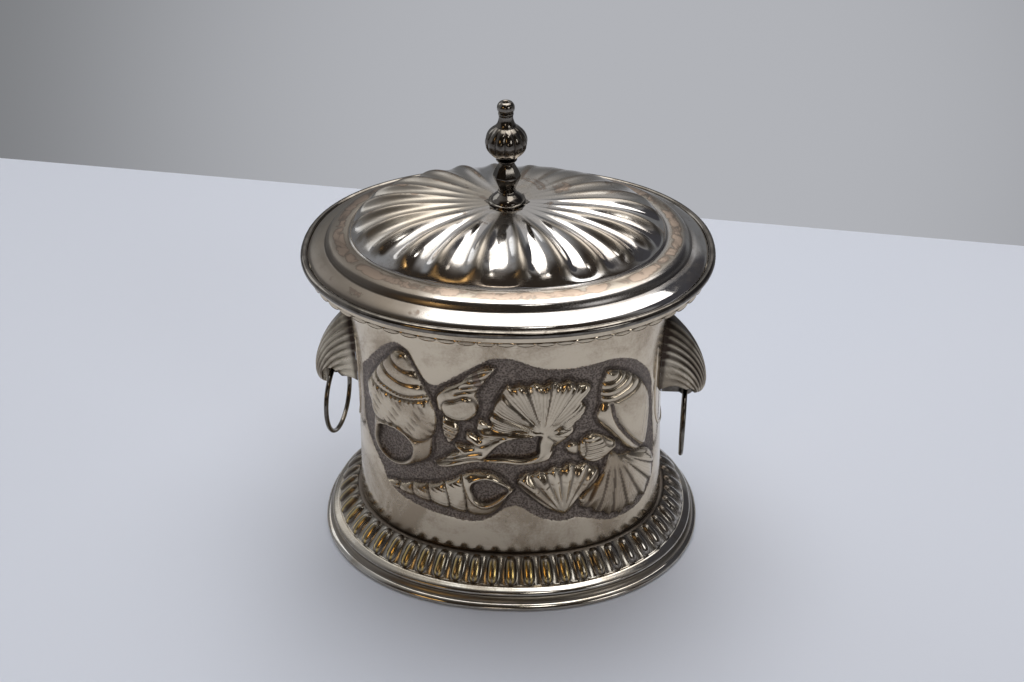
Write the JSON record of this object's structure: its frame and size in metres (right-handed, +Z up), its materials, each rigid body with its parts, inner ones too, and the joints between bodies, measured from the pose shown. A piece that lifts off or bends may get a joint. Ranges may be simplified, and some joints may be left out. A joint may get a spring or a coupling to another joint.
{
  "type": "biscuit box",
  "caption": "Oval silver-plated biscuit box with a lift-off fluted lid, a turned finial, shell lugs with drop rings at both ends and a spreading gadrooned foot.",
  "frame": {"origin": "bottom centre: the middle of the foot's oval at the level it stands on", "axes": "+Z up through the finial, +X along the oval's length to the right ring, -Y to the front"},
  "size_m": [0.2, 0.16, 0.2377],
  "materials": {
    "bright_silver": "polished silver plate",
    "satin_silver": "satin silver plate",
    "worn_silver": "worn silver plate",
    "dark_silver": "tarnished silver plate"
  },
  "bodies": {
    "box": {"foot_base_wire": "bright_silver", "foot_shell": "bright_silver", "foot_gadroon_border": "bright_silver", "body_wall": "satin_silver", "body_floor": "satin_silver", "mouth_rim": "satin_silver", "scalloped_border": "dark_silver", "right_shell_lug": "satin_silver", "right_ring_eye": "satin_silver", "left_shell_lug": "satin_silver", "left_ring_eye": "satin_silver"},
    "lid": {"lid_shell": "worn_silver", "lid_rim_wire": "dark_silver", "lid_bezel": "satin_silver", "finial_foot": "dark_silver", "finial_baluster": "dark_silver", "finial_ball": "dark_silver", "finial_tip": "dark_silver", "finial_stud": "satin_silver", "finial_washer": "satin_silver", "finial_nut": "satin_silver"},
    "right_drop_ring": {"right_ring": "dark_silver"},
    "left_drop_ring": {"left_ring": "dark_silver"}
  },
  "joints": [
    {"name": "lid_lift", "type": "slide", "parent": "box", "child": "lid", "axis": [0, 0, 1], "range_m": [0, 0.06]},
    {"name": "right_ring_swing", "type": "hinge", "parent": "box", "child": "right_drop_ring", "pos_m": [0.0894, 0, 0.0835], "axis": [-0.0698, -0.9976, 0], "range_deg": [-13, 160]},
    {"name": "left_ring_swing", "type": "hinge", "parent": "box", "child": "left_drop_ring", "pos_m": [-0.0894, 0, 0.0905], "axis": [0.1392, 0.9903, 0], "range_deg": [-13, 160]}
  ]
}
